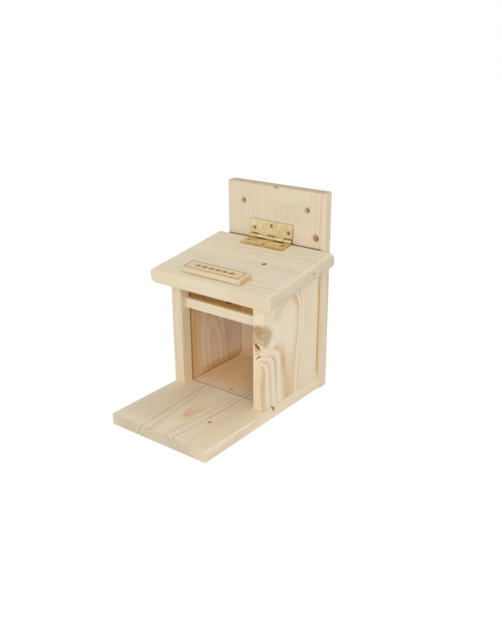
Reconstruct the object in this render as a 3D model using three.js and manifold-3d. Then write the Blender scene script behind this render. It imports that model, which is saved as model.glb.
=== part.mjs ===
// Squirrel feeder box of planed pine boards: a back board, a seed chamber with a clear window
// that slides up, a feeding platform in front, and a roof on a brass hinge.
// Millimetres, +Z up. The front faces -Y. The origin is the middle of the footprint.

import * as THREE from "three";
import { mergeVertices } from "three/addons/utils/BufferGeometryUtils.js";
import Module from "manifold-3d";

const wasm = await Module();
wasm.setup();

// Boards
const boardThickness = 18;
const bodyWidth = 168; // across the outer faces of the two side panels
const panelDepth = 141;
const panelRearHeight = 183; // above the base, against the back board
const baseSideOverhang = 3; // past the panels' outer faces
const baseEdgeRadius = 3;
const platformDepth = 129; // in front of the panels
const backSideOverhang = 4;
const backHeight = 306;
const roofThickness = 22;
const roofSideOverhang = 24;
const roofDepth = 157.5;
const roofEndRadius = 7.5;
const roofSlope = THREE.MathUtils.degToRad(8.3);
const roofSeatGap = 0.3; // between the closed roof and the panel tops
const roofRearGap = 0.5; // between the roof's lower rear edge and the back board

// Rail across the mouth, and the window behind it
const railHeight = 15;
const railThickness = 7;
const railTop = 137; // above the base
const railSetback = 11; // behind the panels' front edges
const railToGroove = 0.5;
const grooveWidth = 4;
const panelGrooveDepth = 5;
const baseGrooveDepth = 4;
const paneThickness = 3;
const paneBelowRail = 0.7; // from the rail's top down to the pane's
const paneEndClearance = 0.5;
const paneFootClearance = 0.3;

// Plaque on the roof
const plaqueLength = 107;
const plaqueWidth = 26.5;
const plaqueThickness = 7;
const plaqueSetback = 12; // behind the roof's front edge
const plaqueOffset = -3.5; // from the middle of the roof
const glueGap = 0.3;

// Hinge
const hingeLength = 78;
const hingeOffset = -4.5; // from the middle of the roof
const knuckleCount = 5;
const knuckleClearance = 0.4;
const leafWidth = 26; // from the pin's axis
const leafThickness = 1.5;
const leafSeatGap = 0.3;
const notchClearance = 0.6;
const barrelRadius = 3;
const pinRadius = 1.2;
const pinClearance = 0.3;
const pinChamfer = 0.3;
const leafEndInset = 8; // from a leaf's end to its outer screws
const outerScrewReach = 12.5; // from the pin's axis
const middleScrewReach = 19;

// Fasteners
const holeClearance = 0.3;
const hingeScrew = {
  headRadius: 3, shankRadius: 1.5, length: 14, tipLength: 3, sink: 0.2,
  recessSpan: 3.4, recessWidth: 0.8, recessDepth: 0.8,
};
const boardScrew = {
  headRadius: 4, shankRadius: 2, length: 40, tipLength: 5, sink: 0.3,
  recessSpan: 4.4, recessWidth: 1.1, recessDepth: 1.3,
};
const brad = { headRadius: 1.1, headHeight: 0.9, shankRadius: 0.7, length: 34, tipLength: 2, sink: 0.4 };
const baseScrewInset = 30; // from the panels' front and rear edges
const backScrewInset = 32; // from the panels' lower and upper ends
const backScrewSpread = 84; // between the two screws into the end of the base
const mountHoleRadius = 2.3;
const mountSinkRadius = 4.8;
const mountHoleSpread = 116;
const mountHoleDrop = 28.5; // below the back board's top edge

// Modelling values
const overrun = 2;
const cornerSegments = 5;
const roundSegments = 16;

// Derived places, in a frame whose zero is the back board's front face, on the ground
const baseWidth = bodyWidth + 2 * baseSideOverhang;
const baseDepth = panelDepth + platformDepth;
const backWidth = bodyWidth + 2 * backSideOverhang;
const roofWidth = bodyWidth + 2 * roofSideOverhang;
const innerWidth = bodyWidth - 2 * boardThickness;
const panelMiddle = bodyWidth / 2 - boardThickness / 2;
const railRear = -panelDepth + railSetback + railThickness;
const grooveFront = railRear + railToGroove;
const grooveMiddle = grooveFront + grooveWidth / 2;
const paneHeight = railTop - paneBelowRail + baseGrooveDepth - paneFootClearance;
const pinGap = barrelRadius + leafSeatGap; // from the pin's axis to the wood behind either leaf
const pinNormalHeight = roofSeatGap + roofThickness + pinGap;
const pinHeight = boardThickness + panelRearHeight
  + (pinNormalHeight - pinGap * Math.sin(roofSlope)) / Math.cos(roofSlope);
const roofTop = -pinGap; // in the lid's own frame, which turns about the pin
const roofBottom = roofTop - roofThickness;
const roofRear = (pinGap - roofRearGap + roofBottom * Math.sin(roofSlope)) / Math.cos(roofSlope);

const pine = new THREE.MeshStandardMaterial({ color: 0xe3d2b2, roughness: 0.62, metalness: 0 });
const plaqueWood = new THREE.MeshStandardMaterial({ color: 0xe4cf9e, roughness: 0.6, metalness: 0 });
const brass = new THREE.MeshStandardMaterial({ color: 0xcdaa62, roughness: 0.34, metalness: 1 });
const steel = new THREE.MeshStandardMaterial({ color: 0xb9bcc0, roughness: 0.4, metalness: 1 });
const acrylic = new THREE.MeshStandardMaterial({
  color: 0xeef2f2, roughness: 0.05, metalness: 0, transparent: true, opacity: 0.25,
});

// Geometry to solid and back
function toSolid(geometry) {
  const bare = geometry.clone();
  bare.deleteAttribute("normal");
  bare.deleteAttribute("uv");
  const merged = mergeVertices(bare);
  return new wasm.Manifold(new wasm.Mesh({
    numProp: 3,
    vertProperties: new Float32Array(merged.attributes.position.array),
    triVerts: new Uint32Array(merged.index.array),
  }));
}

function toGeometry(solid) {
  const mesh = solid.getMesh();
  const geometry = new THREE.BufferGeometry();
  geometry.setAttribute("position", new THREE.BufferAttribute(mesh.vertProperties, mesh.numProp));
  geometry.setIndex(new THREE.BufferAttribute(mesh.triVerts, 1));
  geometry.computeVertexNormals();
  return geometry;
}

function cut(geometry, tools) {
  return toGeometry(tools.reduce((solid, tool) => solid.subtract(toSolid(tool)), toSolid(geometry)));
}

function join(geometries) {
  const [first, ...others] = geometries.map(toSolid);
  return toGeometry(others.reduce((solid, other) => solid.add(other), first));
}

function named(name, geometry, material) {
  const mesh = new THREE.Mesh(geometry, material);
  mesh.name = name;
  return mesh;
}

// A box given by its middle across, and by its lower corner and size along Y and Z
function block(middleX, width, lowY, depth, lowZ, height) {
  const geometry = new THREE.BoxGeometry(width, depth, height);
  return geometry.translate(middleX, lowY + depth / 2, lowZ + height / 2);
}

// A board whose section across the grain has four round corners, run from a rear face forwards
function roundedBoard(width, thickness, depth, radius, rear, bottom) {
  const half = width / 2;
  const section = new THREE.Shape();
  section.absarc(half - radius, radius, radius, -Math.PI / 2, 0);
  section.absarc(half - radius, thickness - radius, radius, 0, Math.PI / 2);
  section.absarc(radius - half, thickness - radius, radius, Math.PI / 2, Math.PI);
  section.absarc(radius - half, radius, radius, Math.PI, 3 * Math.PI / 2);
  const geometry = new THREE.ExtrudeGeometry(section, {
    depth, bevelEnabled: false, curveSegments: cornerSegments,
  });
  return geometry.rotateX(Math.PI / 2).translate(0, rear, bottom);
}

// A round bar along X about the origin's axis
function roundBar(middleX, radius, length) {
  return new THREE.CylinderGeometry(radius, radius, length, roundSegments)
    .rotateZ(Math.PI / 2)
    .translate(middleX, 0, 0);
}

function turned(points) {
  const profile = points.map(([radius, height]) => new THREE.Vector2(radius, height));
  return new THREE.LatheGeometry(profile, roundSegments);
}

// A countersunk screw hangs down -Y from the middle of its head's top
function screwGeometry(screw) {
  const headHeight = screw.headRadius - screw.shankRadius;
  const body = turned([
    [0, -screw.length],
    [screw.shankRadius, screw.tipLength - screw.length],
    [screw.shankRadius, -headHeight],
    [screw.headRadius, 0],
    [0, 0],
  ]);
  const slots = [0, Math.PI / 2].map((turn) => {
    const slot = new THREE.BoxGeometry(screw.recessSpan, 2 * screw.recessDepth, screw.recessWidth);
    return slot.rotateY(turn);
  });
  return cut(body, [join(slots)]);
}

// The hole that such a screw needs, open upwards past its head
function screwHole(screw) {
  const headHeight = screw.headRadius - screw.shankRadius;
  const bore = screw.shankRadius + holeClearance;
  const mouth = screw.headRadius + holeClearance;
  return turned([
    [0, -screw.length - holeClearance],
    [bore, -screw.length - holeClearance],
    [bore, -headHeight],
    [mouth, 0],
    [mouth, screw.sink + overrun],
    [0, screw.sink + overrun],
  ]);
}

function bradGeometry() {
  return turned([
    [0, -brad.length],
    [brad.shankRadius, brad.tipLength - brad.length],
    [brad.shankRadius, -brad.headHeight],
    [brad.headRadius, -brad.headHeight],
    [brad.headRadius, 0],
    [0, 0],
  ]);
}

function bradHole() {
  const bore = brad.shankRadius + holeClearance;
  const mouth = brad.headRadius + holeClearance;
  const shoulder = -brad.headHeight - holeClearance;
  return turned([
    [0, -brad.length - holeClearance],
    [bore, -brad.length - holeClearance],
    [bore, shoulder],
    [mouth, shoulder],
    [mouth, brad.sink + overrun],
    [0, brad.sink + overrun],
  ]);
}

// Where a fastener goes: on a face at x, y, z, driven along a direction, its head just below the face
function site(fastener, x, y, z, direction) {
  const spot = new THREE.Object3D();
  spot.position.set(x, y, z).addScaledVector(direction, fastener.sink);
  spot.quaternion.setFromUnitVectors(new THREE.Vector3(0, -1, 0), direction);
  spot.updateMatrix();
  return spot.matrix;
}

function holesAt(hole, sites) {
  return sites.map((matrix) => hole.clone().applyMatrix4(matrix));
}

function fastenersAt(name, geometry, material, sites) {
  return sites.map((matrix, index) => {
    const mesh = named(`${name}_${index + 1}`, geometry, material);
    mesh.applyMatrix4(matrix);
    return mesh;
  });
}

const up = new THREE.Vector3(0, 0, 1);
const down = new THREE.Vector3(0, 0, -1);
const forwards = new THREE.Vector3(0, -1, 0);
const sides = [-1, 1];

// Up through the base into the lower ends of the panels
const baseScrewSites = sides.flatMap((side) => [-baseScrewInset, baseScrewInset - panelDepth].map(
  (y) => site(boardScrew, side * panelMiddle, y, 0, up),
));

// From behind, through the back board into the panels and into the end of the base
const backScrewSites = [
  ...sides.flatMap((side) => [backScrewInset, panelRearHeight - backScrewInset].map(
    (z) => site(boardScrew, side * panelMiddle, boardThickness, boardThickness + z, forwards),
  )),
  ...sides.map((side) => site(
    boardScrew, side * backScrewSpread / 2, boardThickness, boardThickness / 2, forwards,
  )),
];

// Through the panels into the ends of the rail
const bradSites = sides.map((side) => site(
  brad,
  side * bodyWidth / 2,
  railRear - railThickness / 2,
  boardThickness + railTop - railHeight / 2,
  new THREE.Vector3(-side, 0, 0),
));

// A leaf lies along +Y from the pin's axis, its underside one barrel radius below the axis
const leafScrewSites = [
  [leafEndInset - hingeLength / 2, outerScrewReach],
  [0, middleScrewReach],
  [hingeLength / 2 - leafEndInset, outerScrewReach],
].map(([x, y]) => site(hingeScrew, x, y, leafThickness - barrelRadius, down));

// The two leaves' frames: the upper one in the housing's, the lower one in the lid's
const upperLeafPlace = new THREE.Matrix4().makeRotationX(Math.PI / 2)
  .setPosition(hingeOffset, -pinGap, pinHeight);
const lowerLeafPlace = new THREE.Matrix4().makeRotationZ(Math.PI).setPosition(hingeOffset, 0, 0);
const upperScrewSites = leafScrewSites.map((matrix) => upperLeafPlace.clone().multiply(matrix));
const lowerScrewSites = leafScrewSites.map((matrix) => lowerLeafPlace.clone().multiply(matrix));

const boardScrewShape = screwGeometry(boardScrew);
const boardScrewHole = screwHole(boardScrew);
const hingeScrewShape = screwGeometry(hingeScrew);
const hingeScrewHole = screwHole(hingeScrew);
const bradShape = bradGeometry();
const bradHoleShape = bradHole();

// The platform and floor, with a groove across it for the window's foot
function baseBoard() {
  const board = roundedBoard(baseWidth, boardThickness, baseDepth, baseEdgeRadius, 0, 0);
  const groove = block(
    0, baseWidth + 2 * overrun,
    grooveFront, grooveWidth,
    boardThickness - baseGrooveDepth, baseGrooveDepth + overrun,
  );
  const holes = [
    ...holesAt(boardScrewHole, baseScrewSites),
    ...holesAt(boardScrewHole, backScrewSites),
  ];
  return named("base_board", cut(board, [groove, ...holes]), pine);
}

// A side panel with a sloping top and an upright groove in its inner face
function sidePanel(name, side) {
  const frontHeight = panelRearHeight - panelDepth * Math.tan(roofSlope);
  const outline = new THREE.Shape([
    new THREE.Vector2(-panelDepth, 0),
    new THREE.Vector2(0, 0),
    new THREE.Vector2(0, panelRearHeight),
    new THREE.Vector2(-panelDepth, frontHeight),
  ]);
  const turn = new THREE.Matrix4().makeBasis(
    new THREE.Vector3(0, 1, 0), new THREE.Vector3(0, 0, 1), new THREE.Vector3(1, 0, 0),
  );
  const board = new THREE.ExtrudeGeometry(outline, { depth: boardThickness, bevelEnabled: false })
    .applyMatrix4(turn)
    .translate(side * panelMiddle - boardThickness / 2, 0, boardThickness);
  const groove = block(
    side * innerWidth / 2, 2 * panelGrooveDepth,
    grooveFront, grooveWidth,
    boardThickness - overrun, panelRearHeight + 2 * overrun,
  );
  const holes = [
    ...holesAt(boardScrewHole, baseScrewSites),
    ...holesAt(boardScrewHole, backScrewSites),
    ...holesAt(bradHoleShape, bradSites),
  ];
  return named(name, cut(board, [groove, ...holes]), pine);
}

// The tall back board, with two countersunk holes to hang the feeder by
function backBoard() {
  const board = block(0, backWidth, 0, boardThickness, 0, backHeight);
  const mountHole = turned([
    [0, -boardThickness - overrun],
    [mountHoleRadius, -boardThickness - overrun],
    [mountHoleRadius, mountHoleRadius - mountSinkRadius],
    [mountSinkRadius, 0],
    [mountSinkRadius, overrun],
    [0, overrun],
  ]).rotateX(Math.PI / 2);
  const mountHoles = sides.map((side) => mountHole.clone().translate(
    side * mountHoleSpread / 2, 0, backHeight - mountHoleDrop,
  ));
  const holes = [
    ...holesAt(boardScrewHole, backScrewSites),
    ...holesAt(hingeScrewHole, upperScrewSites),
  ];
  return named("back_board", cut(board, [...mountHoles, ...holes]), pine);
}

function frontRail() {
  const rail = block(
    0, innerWidth, railRear - railThickness, railThickness,
    boardThickness + railTop - railHeight, railHeight,
  );
  return named("front_rail", cut(rail, holesAt(bradHoleShape, bradSites)), pine);
}

function windowPane() {
  const width = innerWidth + 2 * (panelGrooveDepth - paneEndClearance);
  const mesh = named("window_pane", new THREE.BoxGeometry(width, paneThickness, paneHeight), acrylic);
  const foot = boardThickness - baseGrooveDepth + paneFootClearance;
  mesh.position.set(0, grooveMiddle, foot + paneHeight / 2);
  return mesh;
}

function roofBoard() {
  const board = roundedBoard(
    roofWidth, roofThickness, roofDepth, roofEndRadius, roofRear, roofBottom,
  );
  return named("roof_board", cut(board, holesAt(hingeScrewHole, lowerScrewSites)), pine);
}

function plaque() {
  const geometry = new THREE.BoxGeometry(plaqueLength, plaqueWidth, plaqueThickness);
  const mesh = named("plaque", geometry, plaqueWood);
  mesh.position.set(
    plaqueOffset,
    roofRear - roofDepth + plaqueSetback + plaqueWidth / 2,
    roofTop + glueGap + plaqueThickness / 2,
  );
  return mesh;
}

// A leaf with its own knuckles, notched where the other leaf's knuckles turn
function hingeLeaf(name, ownsKnuckle) {
  const pitch = hingeLength / knuckleCount;
  const plate = block(0, hingeLength, 0, leafWidth, -barrelRadius, leafThickness);
  const barrels = [];
  const notches = [];
  for (let knuckle = 0; knuckle < knuckleCount; knuckle += 1) {
    const middle = (knuckle + 1 / 2) * pitch - hingeLength / 2;
    if (ownsKnuckle(knuckle)) {
      barrels.push(roundBar(middle, barrelRadius, pitch - knuckleClearance));
    } else {
      notches.push(block(
        middle, pitch + knuckleClearance,
        -overrun, barrelRadius + notchClearance + overrun,
        -barrelRadius - overrun, leafThickness + 2 * overrun,
      ));
    }
  }
  const leaf = join([cut(plate, notches), ...barrels]);
  const bore = roundBar(0, pinRadius + pinClearance, hingeLength + 2 * overrun);
  return named(name, cut(leaf, [bore, ...holesAt(hingeScrewHole, leafScrewSites)]), brass);
}

function hingePin() {
  const half = hingeLength / 2;
  const geometry = turned([
    [0, -half],
    [pinRadius - pinChamfer, -half],
    [pinRadius, pinChamfer - half],
    [pinRadius, half - pinChamfer],
    [pinRadius - pinChamfer, half],
    [0, half],
  ]);
  const mesh = named("hinge_pin", geometry, brass);
  mesh.rotation.z = Math.PI / 2;
  mesh.position.set(hingeOffset, -pinGap, pinHeight);
  return mesh;
}

// Everything that stays still
function housing() {
  const group = new THREE.Group();
  const upperLeaf = hingeLeaf("hinge_upper_leaf", (knuckle) => knuckle % 2 === 1);
  upperLeaf.applyMatrix4(upperLeafPlace);
  group.add(
    baseBoard(),
    sidePanel("left_side_panel", -1),
    sidePanel("right_side_panel", 1),
    backBoard(),
    frontRail(),
    upperLeaf,
    hingePin(),
    ...fastenersAt("hinge_upper_screw", hingeScrewShape, brass, upperScrewSites),
    ...fastenersAt("base_screw", boardScrewShape, steel, baseScrewSites),
    ...fastenersAt("back_screw", boardScrewShape, steel, backScrewSites),
    ...fastenersAt("rail_brad", bradShape, steel, bradSites),
  );
  return group;
}

// Everything that swings up about the hinge pin
function lid() {
  const group = new THREE.Group();
  const lowerLeaf = hingeLeaf("hinge_lower_leaf", (knuckle) => knuckle % 2 === 0);
  lowerLeaf.applyMatrix4(lowerLeafPlace);
  group.add(
    roofBoard(),
    plaque(),
    lowerLeaf,
    ...fastenersAt("hinge_lower_screw", hingeScrewShape, brass, lowerScrewSites),
  );
  group.position.set(0, -pinGap, pinHeight);
  group.rotation.x = roofSlope;
  return group;
}

const feeder = new THREE.Group();
feeder.add(housing(), windowPane(), lid());
feeder.position.y = (baseDepth - boardThickness) / 2;

export default feeder;
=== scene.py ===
import math

import bpy
import numpy as np
from mathutils import Matrix, Vector


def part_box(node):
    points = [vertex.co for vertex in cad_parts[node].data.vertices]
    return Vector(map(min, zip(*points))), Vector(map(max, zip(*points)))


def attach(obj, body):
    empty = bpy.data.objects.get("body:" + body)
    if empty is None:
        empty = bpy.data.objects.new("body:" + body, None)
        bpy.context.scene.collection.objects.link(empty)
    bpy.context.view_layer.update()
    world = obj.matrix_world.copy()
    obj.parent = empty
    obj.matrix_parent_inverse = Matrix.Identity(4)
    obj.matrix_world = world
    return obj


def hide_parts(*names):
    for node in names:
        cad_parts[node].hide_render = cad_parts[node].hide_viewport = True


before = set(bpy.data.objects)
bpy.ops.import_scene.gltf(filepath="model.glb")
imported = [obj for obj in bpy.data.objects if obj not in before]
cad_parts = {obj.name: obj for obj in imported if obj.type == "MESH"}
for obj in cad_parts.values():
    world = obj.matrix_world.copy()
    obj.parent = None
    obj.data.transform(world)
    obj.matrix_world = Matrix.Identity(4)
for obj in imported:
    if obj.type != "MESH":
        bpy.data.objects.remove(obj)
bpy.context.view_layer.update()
print("frame loaded,", len(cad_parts), "solids")

# All shapes below are worked out in millimetres and put into the mesh in metres
mm = 0.001
alongX, alongY, alongZ = np.eye(3)


def boxOf(node):  # lowest and highest corner of a solid, in millimetres
    low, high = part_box(node)
    return np.array(low) / mm, np.array(high) / mm


# Shapes
# A shape is a pair: its points, and its faces as lists of point numbers. A profile is a
# list of (radius, height), and an outline lies in the first two axes

# Rows of points, each a closed ring: neighbours on two rings make a four-sided face,
# and the first and the last ring are closed with one flat face each
def ringSurface(rings):
    rows, columns, _ = rings.shape
    numbers = np.arange(rows * columns).reshape(rows, columns)
    near, far = numbers[:-1], numbers[1:]
    quads = np.stack([near, np.roll(near, -1, 1), np.roll(far, -1, 1), far], -1)
    faces = quads.reshape(-1, 4).tolist()
    faces += [numbers[0, ::-1].tolist(), numbers[-1].tolist()]
    return outwards(rings.reshape(-1, 3), faces)


# Six times the volume is the sum of a . (b x c) over each face's fan of triangles; where
# it is below zero all faces are turned round
def outwards(points, faces):
    volume = 0.0
    for face in faces:
        fan = points[face]
        volume += float((np.cross(fan[1:-1], fan[2:]) @ fan[0]).sum())
    return points, faces if volume > 0 else [face[::-1] for face in faces]


# Several closed shapes in one mesh
def together(*shapes):
    points, faces, start = [], [], 0
    for p, f in shapes:
        points.append(p)
        faces += [[n + start for n in face] for face in f]
        start += len(p)
    return np.concatenate(points), faces


# An outline with round corners: each corner's arc keeps its centre while the outline
# shrinks by inset, so a point is centre + (radius - inset) * (cos, sin)
def roundedOutline(corners, radius, inset, steps):
    corners = np.array(corners, float)
    along = np.roll(corners, -1, 0) - corners
    along /= np.linalg.norm(along, axis=1)[:, None]
    normalOut = along[:, ::-1] * [1, -1]
    normalIn = np.roll(normalOut, 1, 0)
    half = (normalIn + normalOut) / (1 + (normalIn * normalOut).sum(1))[:, None]
    start = np.arctan2(normalIn[:, 1], normalIn[:, 0])
    turn = np.arctan2(normalOut[:, 1], normalOut[:, 0]) - start
    turn = np.mod(turn + math.pi, 2 * math.pi) - math.pi
    angle = start[:, None] + turn[:, None] * np.linspace(0, 1, steps)[None]
    arcs = np.stack([np.cos(angle), np.sin(angle)], -1)
    return ((corners - radius * half)[:, None] + (radius - inset) * arcs).reshape(-1, 2)


def flatRings(outlines, heights):  # each outline laid flat at its height on the third axis
    return ringSurface(np.stack([
        np.column_stack([outline, np.full(len(outline), height)]) for outline, height in zip(outlines, heights)
    ]))


# A board: its rounded outline carried along its thickness, with both rims rounded, so
# height is edge * (1 - cos t) and inset is edge * (1 - sin t) as t goes to a quarter turn
def board(corners, radius, low, high, edge, steps=6, rimSteps=4):
    t = np.linspace(0, math.pi / 2, rimSteps + 1)
    inset, rise = edge * (1 - np.sin(t)), edge * (1 - np.cos(t))
    outlines = [roundedOutline(corners, radius, i, steps) for i in [*inset, *inset[::-1]]]
    return flatRings(outlines, [*(low + rise), *(high - rise)[::-1]])


# A solid's box as a board: the first two axes carry its outline, and the third its thickness
def boxBoard(node, order, radius, edge, **steps):
    (left, front, low), (right, rear, high) = [corner[list(order)] for corner in boxOf(node)]
    corners = [(left, front), (right, front), (right, rear), (left, rear)]
    return placed(board(corners, radius, low, high, edge, **steps), np.eye(3)[list(order)])


def circle(count):
    angle = np.linspace(0, 2 * math.pi, count, endpoint=False)
    return np.column_stack([np.cos(angle), np.sin(angle)])


# A turned shape: a profile carried round the third axis
def turned(profile, count=32):
    return flatRings([radius * circle(count) for radius, _ in profile], [height for _, height in profile])


# Points carried by three axes, given as rows, to a place
def placed(shape, axes, origin=(0, 0, 0)):
    points, faces = shape
    axes = np.array(axes, float)
    if np.linalg.det(axes) < 0:
        faces = [f[::-1] for f in faces]
    return points @ axes + np.array(origin, float), faces


# Axes of a fastener driven along a direction: its own third axis points back out
def driven(direction, spin=0.0):
    out = -np.array(direction, float)
    side = np.cross([0, 0, 1], out) if abs(out[2]) < 0.9 else np.array([1.0, 0, 0])
    side /= np.linalg.norm(side)
    other = np.cross(out, side)
    c, s = math.cos(spin), math.sin(spin)
    return [c * side + s * other, c * other - s * side, out]


# Meshes and pieces

def newObject(name, data):
    made = bpy.data.objects.new(name, data)
    bpy.context.scene.collection.objects.link(made)
    return made


def objectOf(name, shape):
    points, faces = shape
    mesh = bpy.data.meshes.new(name)
    mesh.from_pydata((np.asarray(points) * mm).tolist(), [], faces)
    mesh.update()
    return newObject(name, mesh)


def pointsOf(made):  # the mesh's points in millimetres
    flat = np.empty(len(made.data.vertices) * 3)
    made.data.vertices.foreach_get("co", flat)
    return flat.reshape(-1, 3) / mm


def addValues(made, name, values):  # one number for each point of the mesh
    made.data.attributes.new(name, "FLOAT", "POINT").data.foreach_set("value", values.astype(np.float32))


# The object's modifiers worked into its mesh, which keeps the object at the origin
def settle(made):
    graph = bpy.context.evaluated_depsgraph_get()
    graph.update()
    worked = bpy.data.meshes.new_from_object(made.evaluated_get(graph))
    made.modifiers.clear()
    old, made.data = made.data, worked
    worked.name = made.name
    bpy.data.meshes.remove(old)


def combine(made, shape, operation):
    tool = objectOf("tool", shape)
    step = made.modifiers.new(operation, "BOOLEAN")
    step.operation, step.solver, step.object = operation, "EXACT", tool
    settle(made)
    mesh = tool.data
    bpy.data.objects.remove(tool)
    bpy.data.meshes.remove(mesh)


# A finished piece: cut where it has holes, evenly shaded, riding on its body
def finishPiece(made, body, node, material, cuts=(), smoothAngle=32, bevel=0.0):
    if len(cuts):
        combine(made, together(*cuts), "DIFFERENCE")
    if bevel:
        step = made.modifiers.new("arris", "BEVEL")
        step.width, step.segments, step.limit_method = bevel * mm, 2, "ANGLE"
        step.angle_limit = math.radians(40)
        settle(made)
    mesh = made.data
    mesh.shade_smooth()
    mesh.set_sharp_from_angle(angle=math.radians(smoothAngle))
    made.modifiers.new("evenShading", "WEIGHTED_NORMAL").keep_sharp = True
    mesh.materials.clear()
    mesh.materials.append(material)
    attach(made, body)
    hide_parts(node)


# Node building
# Each call adds one node to the tree in work. A value goes on the node's own socket, and
# another node's output is wired to it

tree = None


def startTree(owner):  # an empty node tree, which is the one in work from here on
    global tree
    owner.use_nodes = True
    tree = owner.node_tree
    tree.nodes.clear()


def add(kind, **settings):
    node = tree.nodes.new("ShaderNode" + kind)
    for name, value in settings.items():
        setattr(node, name, value)
    return node


def wire(socket, value):
    if isinstance(value, bpy.types.NodeSocket):
        tree.links.new(value, socket)
    else:
        socket.default_value = value


def fill(node, *values, **named):  # sockets in their order or by name, and the node's first output
    for socket, value in zip(node.inputs, values):
        wire(socket, value)
    for name, value in named.items():
        wire(node.inputs[name], value)
    return node.outputs[0]


def maths(operation, *values, clamp=False):
    return fill(add("Math", operation=operation, use_clamp=clamp), *values)


def times(a, b):
    return maths("MULTIPLY", a, b)


def timesPlus(a, b, c):  # a * b + c
    return maths("MULTIPLY_ADD", a, b, c)


def vectors(operation, *values, scale=None):
    node = add("VectorMath", operation=operation)
    fill(node, *values)
    if scale is not None:
        wire(node.inputs["Scale"], scale)
    return node.outputs["Value" if operation in ("LENGTH", "DOT_PRODUCT") else "Vector"]


def separate(vector):
    node = add("SeparateXYZ")
    fill(node, vector)
    return node.outputs


def eased(value, low, high, outLow=0.0, outHigh=1.0):  # an S-curve between two levels
    return fill(add("MapRange", interpolation_type="SMOOTHSTEP"), value, low, high, outLow, outHigh)


def fading(value, low, high, start=1.0):  # the same, down to nothing
    return eased(value, low, high, start, 0.0)


def noise(vector, scale, detail, roughness=0.5, colour=False):
    node = add("TexNoise")
    fill(node, Vector=vector, Scale=scale, Detail=detail, Roughness=roughness)
    return node.outputs["Color" if colour else "Fac"]


def blend(factor, a, b, kind="MIX"):
    node = add("Mix", data_type="RGBA", blend_type=kind)
    wire(node.inputs["Factor"], factor)
    for socket, v in zip([s for s in node.inputs if s.type == "RGBA"], (a, b)):
        wire(socket, v)
    return [s for s in node.outputs if s.type == "RGBA"][0]


def curve(value, points, handles="VECTOR"):  # lines through the given points, straight or rounded
    node = add("FloatCurve")
    line = node.mapping.curves[0]
    while len(line.points) < len(points):
        line.points.new(0.5, 0.5)
    for spot, (x, y) in zip(line.points, points):
        spot.location, spot.handle_type = (x, y), handles
    node.mapping.update()
    return fill(node, Value=value)


def stretched(vector, scale, shift=(0, 0, 0)):
    return fill(add("Mapping"), Vector=vector, Scale=scale, Location=shift)


def centred(vector, middle, turn, size):  # from a place's middle, along its own axes, in steps of size
    return fill(add("Mapping", vector_type="TEXTURE"), Vector=vector, Location=middle, Rotation=turn, Scale=size)


# A place measured from a spot in steps of its half sizes
def spotAt(vector, spot, unit=mm):
    turn = [math.radians(a) for a in spot.get("turn", (0, 0, 0))]
    return centred(vector, np.array(spot["at"], float) * unit, turn, np.array(spot["size"], float) * unit)


# How far a place is from a spot's middle: the largest of |x|, |y| and |z| in half sizes
def boxAway(vector, spot):
    x, y, z = separate(vectors("ABSOLUTE", spotAt(vector, spot)))
    return maths("MAXIMUM", maths("MAXIMUM", x, y), z)


# Distance from a line: take the part of (place - point) along the line away, and
# measure what is left
def lineDistance(place, point, direction):
    direction = tuple(Vector(direction).normalized())
    away = vectors("SUBTRACT", place, tuple(point))
    shadow = vectors("SCALE", direction, scale=vectors("DOT_PRODUCT", away, direction))
    return vectors("LENGTH", vectors("SUBTRACT", away, shadow))


def attribute(name):
    return add("Attribute", attribute_name=name).outputs["Fac"]


def rgb(r, g, b):  # a colour as it shows on a screen, as the light it stands for
    c = np.array([r, g, b], float) / 255
    c = np.where(c <= 0.04045, c / 12.92, ((c + 0.055) / 1.055) ** 2.4)
    return (*c.tolist(), 1.0)


def paint(factor, colour, tone, kind="MIX"):  # a tone laid over a colour as far as the factor says
    return blend(factor, colour, rgb(*tone), kind)


def newMaterial(name):
    material = bpy.data.materials.new(name)
    startTree(material)
    shader = add("BsdfPrincipled")
    output = add("OutputMaterial")
    wire(output.inputs["Surface"], shader.outputs[0])
    return material, shader, output


# The last links of a material: its colour, its roughness, and a bump of the given height
def finishShader(shader, colour, rough, height, strength, depth, **more):
    bump = fill(add("Bump"), Strength=strength, Distance=depth * mm, Height=height)
    fill(shader, **{"Base Color": colour, "Roughness": rough, "Normal": bump, **more})


# Pine
# The grain is a solid pattern: a board is cut out of a stem whose rings are cylinders
# round a pith line, and faces, edges and end grain all show the same rings. Places are
# in millimetres along a board's own axes (across, through, along)

pine = {
    "lateStart": 0.30,      # share of a ring that is pale before it starts to darken
    "lateEnd": 0.84,        # where it is darkest, just before the next ring starts
    "sharpness": 1.7,
    "roughness": 0.58,
    "gloss": 0.32,
    "fibreDepth": 0.05,     # how much single fibres lighten and darken the wood
    "endDarkening": 0.90,
    "knotRim": (92, 58, 34),
    "foldEnd": 6,           # half the length over which a fold runs out
    "rub": 0.35,            # how far handling takes an edge to its rubbed colour
}


# Spots of the wood. A spot has its middle and half sizes in the row frame, and a turn in
# degrees. Tints, painted shade and painted light multiply the colour by theirs, out of 255,
# or mix it in

brownKnot = {"heart": (176, 128, 84), "ring": (150, 98, 62), "core": (120, 76, 50)}
pinKnot = {
    "heart": (70, 48, 30), "ring": (60, 40, 26), "core": (40, 27, 18), "ragged": 0.5, "rim": 0.2,
    "haloColour": (172, 130, 88),
}
# painted shade: the colour mixed into crevices, grooves and gaps where shade falls
creviceShadeColour = (156, 106, 56)


def knot(tone, at, along, radius, **more):
    usual = {
        "soft": 4.0, "ragged": 0.25, "turns": 14.0, "blotch": 0.3, "coreSize": 0.5, "coreDepth": 0.6,
        "halo": 0.35, "haloSize": 2.2, "depth": 1.0, "rim": 0.6,
    }
    return {**usual, **tone, "at": at, "along": along, "radius": radius, **more}


def mark(at, size, colour, depth=0.9, torn=1.0, soft=0.13, turn=(0, 0, 0)):
    return dict(at=at, size=size, colour=colour, depth=depth, torn=torn, soft=soft, turn=turn)


# a soft-edged box that tints the wood, or paints shade or light onto it
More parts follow.
